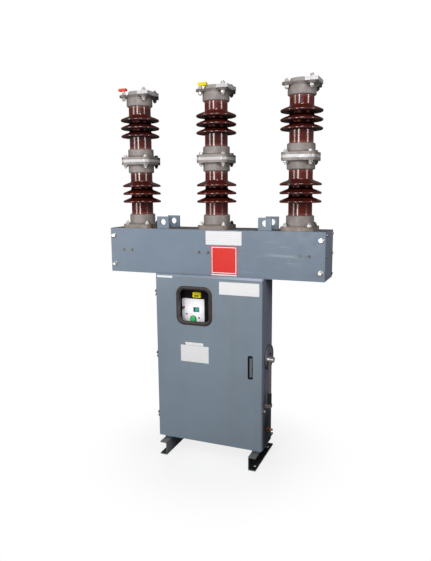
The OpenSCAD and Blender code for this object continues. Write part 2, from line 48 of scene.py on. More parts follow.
# The camera: at eye level, about 1.5 m above the ground, in front of the machine and to its right,
# looking a little down at the door through a moderately wide lens.
eye = Vector((1.0951, -2.7126, 1.4570))
eye_yaw, eye_pitch, eye_roll = (math.radians(a) for a in (22.088, 9.390, -0.447))
film_mm, focal_px, picture_px = 36, 547.95, 561
look = Vector((
    -math.sin(eye_yaw) * math.cos(eye_pitch),
    math.cos(eye_yaw) * math.cos(eye_pitch),
    -math.sin(eye_pitch)))
level_right = Vector((math.cos(eye_yaw), math.sin(eye_yaw), 0))
level_up = level_right.cross(look)
eye_right = math.cos(eye_roll) * level_right + math.sin(eye_roll) * level_up
eye_up = math.cos(eye_roll) * level_up - math.sin(eye_roll) * level_right
camera = bpy.data.objects.new("camera", bpy.data.cameras.new("camera"))
camera.data.sensor_width = film_mm
camera.data.lens = film_mm * focal_px / picture_px
camera.data.clip_start = 0.05
camera.matrix_world = Matrix((
    (eye_right.x, eye_up.x, -look.x, eye.x),
    (eye_right.y, eye_up.y, -look.y, eye.y),
    (eye_right.z, eye_up.z, -look.z, eye.z),
    (0, 0, 0, 1)))
scene.collection.objects.link(camera)
scene.camera = camera


# The studio: a white surround with little light of its own, and a white floor that keeps the machine's
# shadow. Three tall strip boxes draw the bright lines down the porcelains; a soft box above, a low box
# behind that no surface mirrors, and a small lamp before the window do the rest.
def link(tree, out, into):
    tree.links.new(out, into)


def math_node(tree, kind, a, b=None, c=None, clamp=False):
    n = tree.nodes.new("ShaderNodeMath")
    n.operation = kind
    n.use_clamp = clamp
    for socket, value in zip(n.inputs, (a, b, c)):
        if value is None:
            continue
        if isinstance(value, (int, float)):
            socket.default_value = value
        else:
            link(tree, value, socket)
    return n.outputs[0]


def place_of(tree, stretch=(1, 1, 1)):
    at = tree.nodes.new("ShaderNodeTexCoord")
    if stretch == (1, 1, 1):
        return at.outputs["Object"]
    m = tree.nodes.new("ShaderNodeMapping")
    m.inputs["Scale"].default_value = stretch
    link(tree, at.outputs["Object"], m.inputs["Vector"])
    return m.outputs["Vector"]


# a smooth step from to_low, where the value is low, to to_high
def band(tree, value, low, high, to_low=0.0, to_high=1.0):
    n = tree.nodes.new("ShaderNodeMapRange")
    n.interpolation_type = "SMOOTHSTEP"
    for key, v in (("From Min", low), ("From Max", high), ("To Min", to_low), ("To Max", to_high)):
        n.inputs[key].default_value = v
    link(tree, value, n.inputs["Value"])
    return n.outputs[0]


mirrored_white, surround_light = 0.16, 0.05
world = bpy.data.worlds.new("studio")
scene.world = world
world.use_nodes = True
sky = world.node_tree
sky.nodes.clear()
sky_rays = sky.nodes.new("ShaderNodeLightPath").outputs
sky_seen = math_node(sky, "ADD", sky_rays["Is Camera Ray"], sky_rays["Is Transmission Ray"], clamp=True)
sky_mirrored = math_node(sky, "MULTIPLY", sky_rays["Is Glossy Ray"], mirrored_white)
sky_level = math_node(sky, "MAXIMUM", math_node(sky, "MAXIMUM", sky_seen, sky_mirrored), surround_light)
sky_light = sky.nodes.new("ShaderNodeBackground")
sky_light.inputs["Color"].default_value = (1, 1, 1, 1)
link(sky, sky_level, sky_light.inputs["Strength"])
sky_out = sky.nodes.new("ShaderNodeOutputWorld")
link(sky, sky_light.outputs[0], sky_out.inputs["Surface"])


def soft_box(name, place, aim, width, height, watts, grid=180, mirrors=True):
    lamp = bpy.data.lights.new(name, "AREA")
    lamp.shape = "RECTANGLE"
    lamp.size = width
    lamp.size_y = height
    lamp.energy = watts
    lamp.spread = math.radians(grid)
    holder = bpy.data.objects.new(name, lamp)
    holder.location = place
    holder.rotation_euler = (Vector(aim) - Vector(place)).to_track_quat("-Z", "Y").to_euler()
    holder.visible_glossy = mirrors
    scene.collection.objects.link(holder)


soft_box("left_strip", place=(-1.62, -1.55, 1.75), aim=(0, 0, 1.65), width=0.46, height=1.7, watts=16)
soft_box("front_strip", place=(-0.22, -3.1, 1.75), aim=(0, 0, 1.45), width=0.54, height=1.8, watts=40)
soft_box("right_strip", place=(3.1, -0.75, 1.95), aim=(0, 0, 1.75), width=0.50, height=1.5, watts=21)
soft_box("window_lamp", place=(-0.09, -0.34, 0.83), aim=(-0.108, -0.07, 0.826),
         width=0.03, height=0.03, watts=0.035, grid=41)
soft_box("back_box", place=(-1.3, 2.8, 0.70), aim=(0, 0, 1.05),
         width=1.6, height=1.1, watts=60, mirrors=False)
soft_box("top_box", place=(1.2, -2.7, 3.2), aim=(0.1, 0, 0.9), width=0.9, height=0.9, watts=39)

floor_half, floor_drop = 14, 0.0005
floor_white, bounce_white, mirrored_floor = 0.9, 0.2, 0.06
shadow_from, shadow_to, shadow_glow = 0.25, 0.80, 0.80
floor_corners = [(x * floor_half, y * floor_half, 0) for x, y in ((-1, -1), (1, -1), (1, 1), (-1, 1))]
floor_mesh = bpy.data.meshes.new("floor")
floor_mesh.from_pydata(floor_corners, [], [(0, 1, 2, 3)])
floor = bpy.data.objects.new("floor", floor_mesh)
floor.location.z = -floor_drop
scene.collection.objects.link(floor)
floor_paint = bpy.data.materials.new("studio_floor")
floor_paint.use_nodes = True
ground = floor_paint.node_tree
ground.nodes.clear()
ground_rays = ground.nodes.new("ShaderNodeLightPath").outputs
ground_dull = ground.nodes.new("ShaderNodeBsdfDiffuse")
ground_tone = math_node(
    ground, "MULTIPLY_ADD", ground_rays["Is Camera Ray"], floor_white - bounce_white, bounce_white)
link(ground, ground_tone, ground_dull.inputs["Color"])
ground_glow = ground.nodes.new("ShaderNodeEmission")
ground_glow.inputs["Color"].default_value = (1, 1, 1, 1)
ground_off = ground.nodes.new("ShaderNodeVectorMath")
ground_off.operation = "LENGTH"
link(ground, place_of(ground), ground_off.inputs[0])
ground_far = band(ground, ground_off.outputs["Value"], shadow_from, shadow_to, shadow_glow, 1.0)
ground_mirrored = math_node(
    ground, "MULTIPLY_ADD", ground_rays["Is Glossy Ray"], mirrored_floor, ground_rays["Is Transmission Ray"])
ground_seen = math_node(ground, "ADD", ground_rays["Is Camera Ray"], ground_mirrored, clamp=True)
ground_mix = ground.nodes.new("ShaderNodeMixShader")
link(ground, math_node(ground, "MULTIPLY", ground_far, ground_seen), ground_mix.inputs[0])
link(ground, ground_dull.outputs[0], ground_mix.inputs[1])
link(ground, ground_glow.outputs[0], ground_mix.inputs[2])
ground_out = ground.nodes.new("ShaderNodeOutputMaterial")
link(ground, ground_mix.outputs[0], ground_out.inputs["Surface"])
floor_mesh.materials.append(floor_paint)


# Channel feet: rolled steel channel cut to length and sprayed with grey enamel, scuffed along the
# edges, dusty on top, and painted nearly black inside the channel as painted shade.
def srgb(r, g, b):
    def lin(v):
        v /= 255
        return v / 12.92 if v <= 0.04045 else ((v + 0.055) / 1.055) ** 2.4
    return (lin(r), lin(g), lin(b), 1)


def new_finish(name):
    finish = bpy.data.materials.new(name)
    finish.use_nodes = True
    return finish, finish.node_tree, finish.node_tree.nodes["Principled BSDF"]


def grain(tree, scale, detail, stretch=(1, 1, 1), rough=0.55):
    n = tree.nodes.new("ShaderNodeTexNoise")
    n.inputs["Scale"].default_value = scale
    n.inputs["Detail"].default_value = detail
    n.inputs["Roughness"].default_value = rough
    link(tree, place_of(tree, stretch), n.inputs["Vector"])
    return n.outputs["Fac"]


def both(tree, a, b):
    return math_node(tree, "MULTIPLY", a, b)


def blend_colour(tree, factor, a, b):
    n = tree.nodes.new("ShaderNodeMix")
    n.data_type = "RGBA"
    link(tree, factor, n.inputs["Factor"])
    for socket, value in ((n.inputs["A"], a), (n.inputs["B"], b)):
        if isinstance(value, tuple):
            socket.default_value = value
        else:
            link(tree, value, socket)
    return n.outputs["Result"]


# coats of colour, each laid on through its mask over the ones before it
def layered(tree, tone, coats):
    for mask, colour in coats:
        tone = blend_colour(tree, mask, tone, colour)
    return tone


def surface(tree, shader, tone, roughness, relief, strength, distance):
    link(tree, tone, shader.inputs["Base Color"])
    link(tree, roughness, shader.inputs["Roughness"])
    n = tree.nodes.new("ShaderNodeBump")
    n.inputs["Strength"].default_value = strength
    n.inputs["Distance"].default_value = distance
    link(tree, relief, n.inputs["Height"])
    link(tree, n.outputs["Normal"], shader.inputs["Normal"])


def parts_of(tree, vector):
    n = tree.nodes.new("ShaderNodeSeparateXYZ")
    link(tree, vector, n.inputs[0])
    return n.outputs["X"], n.outputs["Y"], n.outputs["Z"]


def place_parts(tree):
    return parts_of(tree, place_of(tree))


def normal_parts(tree):
    return parts_of(tree, tree.nodes.new("ShaderNodeNewGeometry").outputs["Normal"])


def facing_up(tree):
    return band(tree, normal_parts(tree)[2], 0.6, 0.9)


# strong along the edges of the sheet, where the paint wears first
def edge_rub(tree, radius):
    bevel = tree.nodes.new("ShaderNodeBevel")
    bevel.samples = 4
    bevel.inputs["Radius"].default_value = radius
    shape = tree.nodes.new("ShaderNodeNewGeometry")
    dot = tree.nodes.new("ShaderNodeVectorMath")
    dot.operation = "DOT_PRODUCT"
    link(tree, bevel.outputs[0], dot.inputs[0])
    link(tree, shape.outputs["Normal"], dot.inputs[1])
    return band(tree, dot.outputs["Value"], 0.97, 0.80)


rubbed_grey = srgb(178, 186, 192)
rub_width = 0.0025


def enamel(name, colour, cool, dust, dust_share, rub, roughness=0.42, shine=0.4, stain=None):
    finish, tree, shader = new_finish(name)
    patch = band(tree, grain(tree, 2.4, 4), 0.35, 0.68)
    streak = band(tree, grain(tree, 9, 5, stretch=(1, 1, 0.07)), 0.52, 0.78, 0, 0.16)
    speck = band(tree, grain(tree, 130, 2), 0.66, 0.74, 0, 0.35)
    settled = both(tree, facing_up(tree), band(tree, grain(tree, 14, 5), 0.35, 0.6, 0.15, dust_share))
    rubbed = both(tree, edge_rub(tree, rub_width), band(tree, grain(tree, 45, 4), 0.42, 0.62, 0, rub))
    coats = [(patch, cool), (streak, dust), (speck, dust), (settled, dust), (rubbed, rubbed_grey)]
    if stain:
        where, stain_colour = stain
        coats.append((where(tree), stain_colour))
    shader.inputs["Specular IOR Level"].default_value = shine
    dull = band(tree, grain(tree, 22, 4), 0.3, 0.7, roughness - 0.07, roughness + 0.1)
    surface(tree, shader, layered(tree, colour, coats), dull, grain(tree, 420, 2), 0.12, 0.0006)
    return finish


def dress(names, finish):
    for name in names:
        data = solid[name].data
        data.materials.clear()
        data.materials.append(finish)


def soften(names, width, segments=2):
    for name in names:
        m = solid[name].modifiers.new("eased_edges", "BEVEL")
        m.width = width
        m.segments = segments
        m.limit_method = "ANGLE"
        m.angle_limit = math.radians(50)
        m.harden_normals = False


foot_web_x, foot_lip_x = 0.2425, 0.2775
foot_inside_low, foot_inside_high = 0.006, 0.069
web_fade, lip_fade, inside_fade = 0.0005, 0.001, 0.0006


# painted shade: the channel's inside, between web and lip, is painted nearly black
def channel_painted_shade(tree):
    x, _, z = place_parts(tree)
    out = math_node(tree, "ABSOLUTE", x)
    past_web = band(tree, out, foot_web_x - web_fade, foot_web_x + web_fade)
    before_lip = band(tree, out, foot_lip_x, foot_lip_x - lip_fade)
    above = band(tree, z, foot_inside_low, foot_inside_low + inside_fade)
    below = band(tree, z, foot_inside_high, foot_inside_high - inside_fade)
    hollow = both(tree, both(tree, past_web, before_lip), both(tree, above, below))
    return both(tree, hollow, band(tree, grain(tree, 16, 4), 0.3, 0.7, 0.96, 0.78))


feet = ["left_foot", "right_foot"]
dress(feet, enamel("feet_enamel", srgb(124, 131, 136), srgb(105, 111, 115), srgb(121, 120, 117),
                   dust_share=0.7, rub=0.7, shine=0.06, stain=(channel_painted_shade, srgb(11, 10, 8))))
soften(feet, 0.0012)


# Cabinet body: floor, walls and roof folded from 3 mm steel sheet, seam welded and sprayed inside and
# out with blue-grey enamel; the side walls get a lighter, more lilac copy of it as painted light, and
# are painted darker, in blotches, towards the bottom.
blue_grey = srgb(131, 146, 163)
dust_brown = srgb(128, 116, 104)
plain_sheets = ["cabinet_floor", "cabinet_back_wall", "cabinet_roof"]
side_walls = ["cabinet_left_wall", "cabinet_right_wall"]
darken_top, darken_full = 0.46, 0.22


def height_of(tree):
    return place_parts(tree)[2]


# darker towards the bottom of the side walls, in blotches
def low_darkening(tree):
    blotches = band(tree, grain(tree, 13, 5, stretch=(1, 1, 0.4)), 0.28, 0.62, 0.98, 0.72)
    return both(tree, band(tree, height_of(tree), darken_top, darken_full), blotches)


dress(plain_sheets, enamel("cabinet_enamel", blue_grey, srgb(123, 138, 156), dust_brown,
                           dust_share=0.35, rub=0.5))
# painted light: the side walls' enamel is a lighter, more lilac copy of the cabinet's, for the shaded side
dress(side_walls, enamel("side_wall_enamel", srgb(143, 146, 168), srgb(131, 133, 153), dust_brown,
                         dust_share=0.35, rub=0.5, shine=0.05, stain=(low_darkening, srgb(9, 5, 4))))
soften(plain_sheets + side_walls, 0.0010)


# Spring mechanism: a black enamelled steel housing bolted to the back wall, with a white front plate
# that carries a counter, a state flag, a small knob, two screws and the green closing button.
dress(["mechanism_housing"], enamel("mechanism_black", srgb(11, 11, 12), srgb(15, 15, 16), srgb(40, 37, 34),
                                    dust_share=0.3, rub=0.15, roughness=0.55, shine=0.08))
soften(["mechanism_housing"], 0.0015)
dress(["mechanism_facia"], enamel("front_plate_white", srgb(238, 238, 240), srgb(231, 231, 236),
                                  srgb(196, 190, 184), dust_share=0.2, rub=0.1, roughness=0.35))


def dimmed(colour, share):
    return tuple(v * share for v in colour[:3]) + (1,)


def moulded(name, colour, roughness, mottling=0.12, shine=0.5):
    finish, tree, shader = new_finish(name)
    shader.inputs["Specular IOR Level"].default_value = shine
    mottled = band(tree, grain(tree, 60, 4), 0.35, 0.65)
    tone = blend_colour(tree, mottled, colour, dimmed(colour, 1 - mottling * 2))
    dull = band(tree, grain(tree, 110, 3), 0.3, 0.7, roughness - 0.05, roughness + 0.08)
    surface(tree, shader, tone, dull, grain(tree, 900, 2), 0.1, 0.0003)
    return finish


def piece(name, mesh_maker, finish, body):
    work = bmesh.new()
    mesh_maker(work)
    bmesh.ops.recalc_face_normals(work, faces=work.faces)
    data = bpy.data.meshes.new(name)
    work.to_mesh(data)
    work.free()
    data.materials.append(finish)
    made = bpy.data.objects.new(name, data)
    scene.collection.objects.link(made)
    data.shade_smooth()
    data.set_sharp_from_angle(angle=math.radians(35))
    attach(made, body)
    return made


def slab_maker(low, high, ease, steps):
    def make(work):
        size = Vector(high) - Vector(low)
        middle = (Vector(high) + Vector(low)) / 2
        shape = Matrix.Translation(middle) @ Matrix.Diagonal((*size, 1))
        made = bmesh.ops.create_cube(work, size=1, matrix=shape)
        edges = list({e for v in made["verts"] for e in v.link_edges})
        bmesh.ops.bevel(work, geom=edges, offset=ease, segments=steps, affect="EDGES", clamp_overlap=True)
    return make


# a thin block on an upright face; front and back say how far its two sides stand out from the face
def on_face(face, span_x, span_z, front, back, ease, steps=2):
    low = (span_x[0], face - front, span_z[0])
    high = (span_x[1], face - back, span_z[1])
    return slab_maker(low, high, ease, steps)


# a round or hexagonal body, from rings of radius and height along an axis
def turned(work, at, axis, levels, sides=24, turn=0.0, hollow=False):
    spin = Vector((0, 0, 1)).rotation_difference(Vector(axis)).to_matrix().to_4x4()
    base = Matrix.Translation(Vector(at)) @ spin @ Matrix.Rotation(turn, 4, "Z")
    step = 2 * math.pi / sides
    rings = []
    for r, h in levels:
        corners = [Vector((r * math.cos(step * k), r * math.sin(step * k), h)) for k in range(sides)]
        rings.append([work.verts.new(base @ corner) for corner in corners])
    if hollow:
        rings.append(rings[0])
    for a, b in zip(rings, rings[1:]):
        for k in range(sides):
            work.faces.new((a[k - 1], a[k], b[k], b[k - 1]))
    if not hollow:
        work.faces.new(rings[0][::-1])
        work.faces.new(rings[-1])


to_front = (0, -1, 0)
face_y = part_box("mechanism_facia")[0][1]
button_low, button_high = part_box("close_button")
button_x, button_z = (button_low[0] + button_high[0]) / 2, (button_low[2] + button_high[2]) / 2
button_r = (button_high[0] - button_low[0]) / 2
ring_gap, ring_wide, ring_tall = 0.0012, 0.0030, 0.0028
screw_places = ((-0.147, 0.793), (-0.075, 0.775))
screw_levels = ((0.0052, 0), (0.0052, 0.0016), (0.0040, 0.0030), (0.0018, 0.0036))
knob_x, knob_z = -0.163, 0.828
knob_levels = ((0.0052, 0), (0.0052, 0.006), (0.0072, 0.007), (0.0072, 0.013), (0.0060, 0.015))


# painted shade: a dark ring round the button stands in for the shadow that rings it
def button_shade_ring(work):
    inner = button_r + ring_gap
    outer = inner + ring_wide
    levels = ((outer, 0), (outer, 0.002), (outer - 0.0008, ring_tall),
              (inner + 0.0006, ring_tall), (inner, 0.002), (inner, 0))
    turned(work, (button_x, face_y, button_z), to_front, levels, sides=40, hollow=True)


def plate_screws(work):
    for x, z in screw_places:
        turned(work, (x, face_y, z), to_front, screw_levels, sides=20)


def side_knob(work):
    turned(work, (knob_x, face_y, knob_z), to_front, knob_levels, sides=20)


dress(["close_button"], moulded("button_green", srgb(34, 208, 112), 0.24, mottling=0.05))
soften(["close_button"], 0.0006)
# the dark ring round the button is painted shade
piece("button_shade_ring", button_shade_ring, moulded("ring_painted_shade", srgb(28, 52, 46), 0.35), "frame")
piece("plate_screws", plate_screws, moulded("plate_screw_grey", srgb(112, 114, 118), 0.35), "frame")
piece("side_knob", side_knob, moulded("knob_grey", srgb(70, 78, 84), 0.35), "frame")
piece("counter_case",
      on_face(face_y, (-0.105, -0.057), (0.889, 0.918), front=0.016, back=-0.003, ease=0.002, steps=3),
      moulded("counter_yellow", srgb(255, 236, 0), 0.35, mottling=0.02, shine=0.15), "frame")
piece("counter_glass",
      on_face(face_y, (-0.095, -0.069), (0.893, 0.904), front=0.0175, back=0.0155, ease=0.0006),
      moulded("counter_grey", srgb(150, 142, 96), 0.2), "frame")
piece("state_frame",
      on_face(face_y, (-0.107, -0.074), (0.807, 0.833), front=0.003, back=0, ease=0.0008),
      moulded("state_black", srgb(22, 24, 26), 0.3), "frame")
piece("plate_rules_upper",
      on_face(face_y, (-0.160, -0.080), (0.8460, 0.8495), front=0.0004, back=-0.0006, ease=0.0002, steps=1),
      moulded("rule_pink", srgb(246, 206, 212), 0.4, mottling=0.03), "frame")
piece("plate_rules_lower",
      on_face(face_y, (-0.162, -0.102), (0.8365, 0.8400), front=0.0004, back=-0.0006, ease=0.0002, steps=1),
      moulded("rule_rose", srgb(247, 212, 218), 0.4, mottling=0.03), "frame")
piece("state_flag",
      on_face(face_y, (-0.096, -0.076), (0.8095, 0.8305), front=0.0036, back=0.0026, ease=0.0004),
      moulded("state_teal", srgb(8, 146, 142), 0.35), "frame")


# Door: a folded steel pan with an overlapping edge, hung on three lift-off hinges and sprayed with the
# blue-grey enamel outside and in; a pale strip along its top edge, stronger towards the lock side, is a
# painted highlight.
door_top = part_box("door_panel")[1][2]
highlight_from, highlight_to = 0.013, 0.010
highlight_left, highlight_right = -0.05, 0.20


# painted highlight: a pale strip along the door's top edge, stronger to the right
def lit_top_edge(tree):
    x, _, z = place_parts(tree)
    strip = band(tree, z, door_top - highlight_from, door_top - highlight_to)
    return both(tree, strip, band(tree, x, highlight_left, highlight_right, 0.15, 0.85))


dress(["door_panel"], enamel("door_enamel", srgb(137, 152, 166), srgb(131, 144, 157), dust_brown,
                             dust_share=0.35, rub=0.45, stain=(lit_top_edge, srgb(192, 200, 220))))


# Window: an extruded black glazing rubber holds a clear pane in the door's cut-out; the rubber has a
# full round front that stands proud of the sheet.
def clear_pane():
    finish, tree, shader = new_finish("pane_clear")
    shader.inputs["Base Color"].default_value = (0.03, 0.035, 0.035, 1)
    shader.inputs["Alpha"].default_value = 0.04
    link(tree, band(tree, grain(tree, 30, 4), 0.4, 0.8, 0.02, 0.12), shader.inputs["Roughness"])
    return finish


window_x, window_z = -0.076, 0.853
sight_w, sight_h, sight_r = 0.166, 0.170, 0.024
rubber_w, rubber_step = 0.020, 0.006
rubber_front, rubber_back = -0.138, -0.1215
bead_share, inner_share, outer_share = 0.36, 0.45, 0.40
bead_steps, corner_steps = 8, 10


def arc(across, up, radius, start, sweep, steps):
    angles = [start + sweep * k / steps for k in range(steps + 1)]
    return [(across + radius * math.cos(a), up + radius * math.sin(a)) for a in angles]


def rounded_loop(half_w, half_h, radius):
    points = []
    for k, (sx, sz) in enumerate(((1, 1), (-1, 1), (-1, -1), (1, -1))):
        points += arc(sx * (half_w - radius), sz * (half_h - radius), radius,
                      k * math.pi / 2, math.pi / 2, corner_steps)
    return points


def rubber_maker(work):
    depth = rubber_back - rubber_front
    bead = depth * bead_share
    section = [(0, depth), (0, depth * inner_share)]
    for out, up in arc(0, 0, 1, math.pi, -math.pi, bead_steps):
        section.append((rubber_w / 2 * (1 + out), bead * (1 - up)))
    section += [(rubber_w, bead + 0.0005), (rubber_w - rubber_step, depth * outer_share),
                (rubber_w - rubber_step, depth)]
    rings = []
    for out, deep in section:
        loop = rounded_loop(sight_w / 2 + out, sight_h / 2 + out, sight_r + out)
        rings.append([work.verts.new((window_x + x, rubber_front + deep, window_z + z)) for x, z in loop])
    for a, b in zip(rings, rings[1:] + rings[:1]):
        for k in range(len(a)):
            work.faces.new((a[k], a[k - 1], b[k - 1], b[k]))


dress(["window_glass"], clear_pane())
window_rubber = piece("window_rubber", rubber_maker, moulded("glazing_rubber", srgb(62, 52, 51), 0.5), "door")
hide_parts("window_gasket")


# Handle: a pressed black steel cup let into the door, with a grey enamelled pull lever on a cross pin;
# the lever is painted dark along the edges that lie close to the cup, as painted shade from the cup.
lever_low, lever_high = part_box("handle_lever")
left_shade_start, left_shade_full = lever_low[0] + 0.0062, lever_low[0] + 0.0050
foot_shade_start, foot_shade_full = lever_low[2] + 0.0066, lever_low[2] + 0.0050
head_shade_start, head_shade_full = lever_high[2] - 0.0080, lever_high[2] - 0.0060


# painted shade: the lever's left, lower and upper edges are painted near black
def lever_shaded_edges(tree):
    x, _, z = place_parts(tree)
    left = band(tree, x, left_shade_start, left_shade_full)
    foot = band(tree, z, foot_shade_start, foot_shade_full)
    head = band(tree, z, head_shade_start, head_shade_full)
    return math_node(tree, "MAXIMUM", left, math_node(tree, "MAXIMUM", foot, head))


dress(["handle_cup"], enamel("cup_black", srgb(34, 33, 34), srgb(28, 28, 30), srgb(70, 64, 58),
                             dust_share=0.3, rub=0.2, roughness=0.5))
dress(["handle_lever"], enamel("lever_enamel", srgb(112, 116, 128), srgb(103, 106, 117), dust_brown,
                               dust_share=0.3, rub=0.9, stain=(lever_shaded_edges, srgb(20, 19, 20))))
soften(["handle_lever"], 0.0015, segments=3)


# Hinges: lift-off knuckles of zinc-plated steel, welded by their leaves to cabinet and door. Each half
# has a set screw, turned so that it clears the open door and the wall.
def bare_metal(name, colour, roughness, metal, tarnish, tarnish_share, pits=0.08):
    finish, tree, shader = new_finish(name)
    shader.inputs["Metallic"].default_value = metal
    tone = blend_colour(tree, band(tree, grain(tree, 38, 5), 0.42, 0.72, 0, tarnish_share), colour, tarnish)
    dull = band(tree, grain(tree, 75, 4), 0.3, 0.7, roughness - 0.08, roughness + 0.12)
    surface(tree, shader, tone, dull, grain(tree, 520, 3), pits, 0.0006)
    return finish


hinge_x, hinge_y, hinge_z = -0.308, -0.1045, 0.557
hinge_step, knuckle_r = 0.348, 0.007
screw_r, screw_off, screw_sunk = 0.0050, 0.0115, 0.0006


def set_screws(side, heading, reach):
    out = Vector((math.cos(math.radians(heading)), math.sin(math.radians(heading)), 0))
    levels = ((screw_r, 0), (screw_r, reach - 0.0028), (0.0038, reach - 0.0008), (0.0016, reach))

    def make(work):
        for k in (-1, 0, 1):
            line = Vector((hinge_x, hinge_y, hinge_z + k * hinge_step + side * screw_off))
            turned(work, line + out * (knuckle_r - screw_sunk), out, levels, sides=18)
    return make


zinc = bare_metal("zinc_plate", srgb(204, 201, 196), 0.38, metal=1.0,
                  tarnish=srgb(120, 96, 72), tarnish_share=0.5)
dress(["hinge_pins", "hinge_knuckles"], zinc)
screw_brown = bare_metal("set_screw_steel", srgb(104, 92, 86), 0.45, metal=0.5,
                         tarnish=srgb(78, 62, 50), tarnish_share=0.6)
piece("knuckle_screws", set_screws(1, heading=202, reach=0.0058), screw_brown, "door")
piece("pin_screws", set_screws(-1, heading=150, reach=0.0082), screw_brown, "frame")


# Right side: an enamelled cast collar round the bright charging shaft, its rim painted dark towards the
# back as painted shade; the worn steel crank stowed against it, its arm painted darker than the hub as
# painted shade, with its black grip on a rest; and a small zinc bolt below. Brass earth studs stand low
# on both walls.
collar_y, collar_z = -0.030, 0.588
collar_rim_in, collar_rim_out = 0.046, 0.054
crank_hub_low, crank_arm_top = 0.580, 0.570
wall_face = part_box("cabinet_right_wall")[1][0]
wall_bolt_y, wall_bolt_z = -0.090, 0.305
wall_bolt_levels = ((0.0085, 0), (0.0085, 0.003), (0.0065, 0.007), (0.0030, 0.0085))


def length_of(tree, a, b):
    return math_node(tree, "SQRT", math_node(tree, "MULTIPLY_ADD", a, a, both(tree, b, b)))


# painted shade: the collar's rim is painted dark, most towards the back
def collar_rim_shade(tree):
    _, y, z = place_parts(tree)
    back = math_node(tree, "SUBTRACT", y, collar_y)
    up = math_node(tree, "SUBTRACT", z, collar_z)
    rim = band(tree, length_of(tree, back, up), collar_rim_in, collar_rim_out)
    return both(tree, rim, band(tree, back, -0.005, 0.020, 0.35, 0.95))


def crank_steel():
    finish, tree, shader = new_finish("crank_steel")
    # painted shade: the crank's arm, below the hub, is painted darker and duller than the bright hub
    shaded_arm = band(tree, height_of(tree), crank_hub_low, crank_arm_top)
    rust = band(tree, grain(tree, 40, 5), 0.45, 0.7, 0, 0.6)
    tone = layered(tree, srgb(188, 186, 186), [(shaded_arm, srgb(116, 107, 106)), (rust, srgb(112, 92, 76))])
    link(tree, band(tree, shaded_arm, 0, 1, 0.7, 0.1), shader.inputs["Metallic"])
    surface(tree, shader, tone, band(tree, shaded_arm, 0, 1, 0.34, 0.58), grain(tree, 480, 3), 0.08, 0.0006)
    return finish


def wall_bolt(work):
    turned(work, (wall_face, wall_bolt_y, wall_bolt_z), (1, 0, 0), wall_bolt_levels, sides=20)


dress(["charging_collar"], enamel("collar_enamel", srgb(126, 130, 146), srgb(112, 114, 128), srgb(92, 80, 66),
                                  dust_share=0.4, rub=0.4, roughness=0.5,
                                  stain=(collar_rim_shade, srgb(44, 42, 34))))
dress(["charging_shaft"], bare_metal("worn_steel", srgb(190, 186, 180), 0.34, metal=0.8,
                                     tarnish=srgb(140, 116, 88), tarnish_share=0.5))
dress(["charging_crank"], crank_steel())
dress(["crank_grip"], moulded("grip_black", srgb(30, 30, 31), 0.5))
piece("wall_bolt", wall_bolt, bare_metal("wall_bolt_zinc", srgb(206, 196, 186), 0.36, metal=0.4,
                                         tarnish=srgb(150, 126, 104), tarnish_share=0.5), "frame")
dress(["earth_terminals"], bare_metal("earth_brass", srgb(170, 118, 78), 0.4, metal=0.7,
                                      tarnish=srgb(98, 62, 40), tarnish_share=0.7))


# Beam: a folded box of 4 mm sheet with bolted front and end covers, blue-grey enamel, dusty on top and
# scuffed on the right of the front cover; the end covers carry a lighter copy of the enamel as painted
# light on the shaded ends. Bright zinc bolts at the front corners, small dull screws in pairs between
# them and round the ends.
beam_cool, beam_dust = srgb(124, 138, 155), srgb(108, 92, 78)
end_covers = ["beam_left_end", "beam_right_end"]
scuff_x, scuff_end, scuff_full = 0.32, 0.19, 0.10
beam_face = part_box("beam_front_cover")[0][1]
beam_end_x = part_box("beam_right_end")[1][0]
corner_x, corner_heights = 0.5785, (1.053, 1.212)
pair_places, pair_z = (-0.517, -0.467, -0.062, -0.012, 0.474, 0.521), 1.135
end_rows = ((-0.062, (1.030, 1.131, 1.236)), (0.091, (1.030, 1.136, 1.236)))
corner_bolt = {"across": 0.019, "tall": 0.010, "washer": 0.025, "washer_t": 0.003}
pair_screw = {"across": 0.010, "tall": 0.005, "washer": 0.014, "washer_t": 0.0015}


def away_from(tree, value, middle):
    return math_node(tree, "ABSOLUTE", math_node(tree, "SUBTRACT", value, middle))


def cover_scuffs(tree):
    near = band(tree, away_from(tree, place_parts(tree)[0], scuff_x), scuff_end, scuff_full)
    swipes = band(tree, grain(tree, 34, 3, stretch=(0.10, 1, 1)), 0.56, 0.70, 0, 0.42)
    smudge = band(tree, grain(tree, 17, 4), 0.60, 0.74, 0, 0.35)
    return both(tree, near, math_node(tree, "MAXIMUM", swipes, smudge))


# a hexagon head or nut on its washer, with the bolt's end above it where a stub is given
def hex_head(work, at, axis, across, tall, washer, washer_t, turn, stub_r=0.0, stub_h=0.0):
    rim = washer / 2
    turned(work, at, axis, ((rim, 0), (rim, washer_t * 0.7), (rim - washer_t * 0.3, washer_t)))
    corner = across / math.sqrt(3)
    top = washer_t + tall
    head = ((corner, washer_t), (corner, washer_t + tall * 0.78), (corner * 0.86, top))
    turned(work, at, axis, head, sides=6, turn=turn)
    if stub_r:
        tip = top + stub_h
        stub = ((stub_r, top - 0.0005), (stub_r, tip - stub_r * 0.2), (stub_r * 0.8, tip))
        turned(work, at, axis, stub, sides=16)


def corner_bolts(work):
    for x in (-corner_x, corner_x):
        for z in corner_heights:
            hex_head(work, (x, beam_face, z), to_front, **corner_bolt, turn=x + z)


def pair_screws(work):
    for x in pair_places:
        hex_head(work, (x, beam_face, pair_z), to_front, **pair_screw, turn=x * 7)
    for side in (-1, 1):
        for y, heights in end_rows:
            for z in heights:
                hex_head(work, (side * beam_end_x, y, z), (side, 0, 0), **pair_screw, turn=z * 9)


beam_paint = enamel("beam_enamel", blue_grey, beam_cool, beam_dust, dust_share=0.95, rub=0.6)
dress(["beam_channel"], beam_paint)
